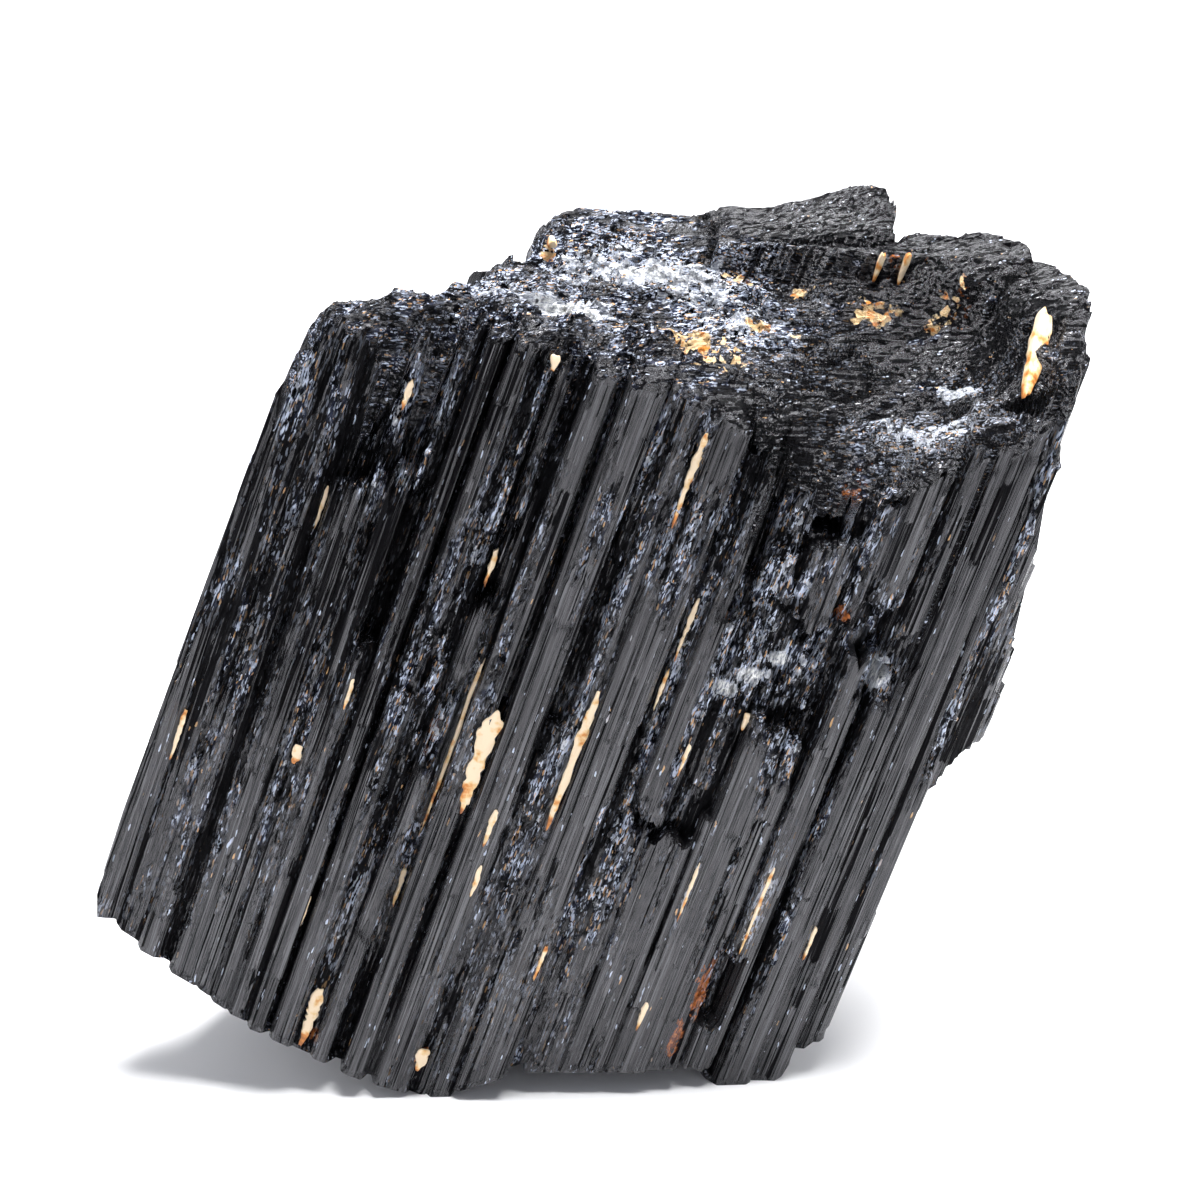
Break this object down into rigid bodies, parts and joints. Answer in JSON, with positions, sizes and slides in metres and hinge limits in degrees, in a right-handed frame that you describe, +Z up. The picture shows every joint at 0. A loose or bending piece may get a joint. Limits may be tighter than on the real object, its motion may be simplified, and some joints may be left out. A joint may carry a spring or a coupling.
{
  "type": "tourmaline crystal",
  "caption": "Broken block of black tourmaline grown as parallel striated columns with a hackly top, leaning on the flat facet of its broken base, as a display mineral",
  "frame": {"origin": "on the flat resting facet of the broken base, below the middle of the specimen", "axes": "+Z up, +X to the right along the widest extent as the striated front face is seen, +Y from the front face to the back, along the shortest extent; the columns lean 18.7 degrees from +Z towards +X"},
  "size_m": [0.0728, 0.0331, 0.0625],
  "materials": {
    "schorl": "glassy black prism faces with fine striations, duller broken ends with pale and rust-coloured mineral traces"
  },
  "bodies": {
    "root": {"tourmaline_crystal": "schorl"}
  },
  "joints": []
}
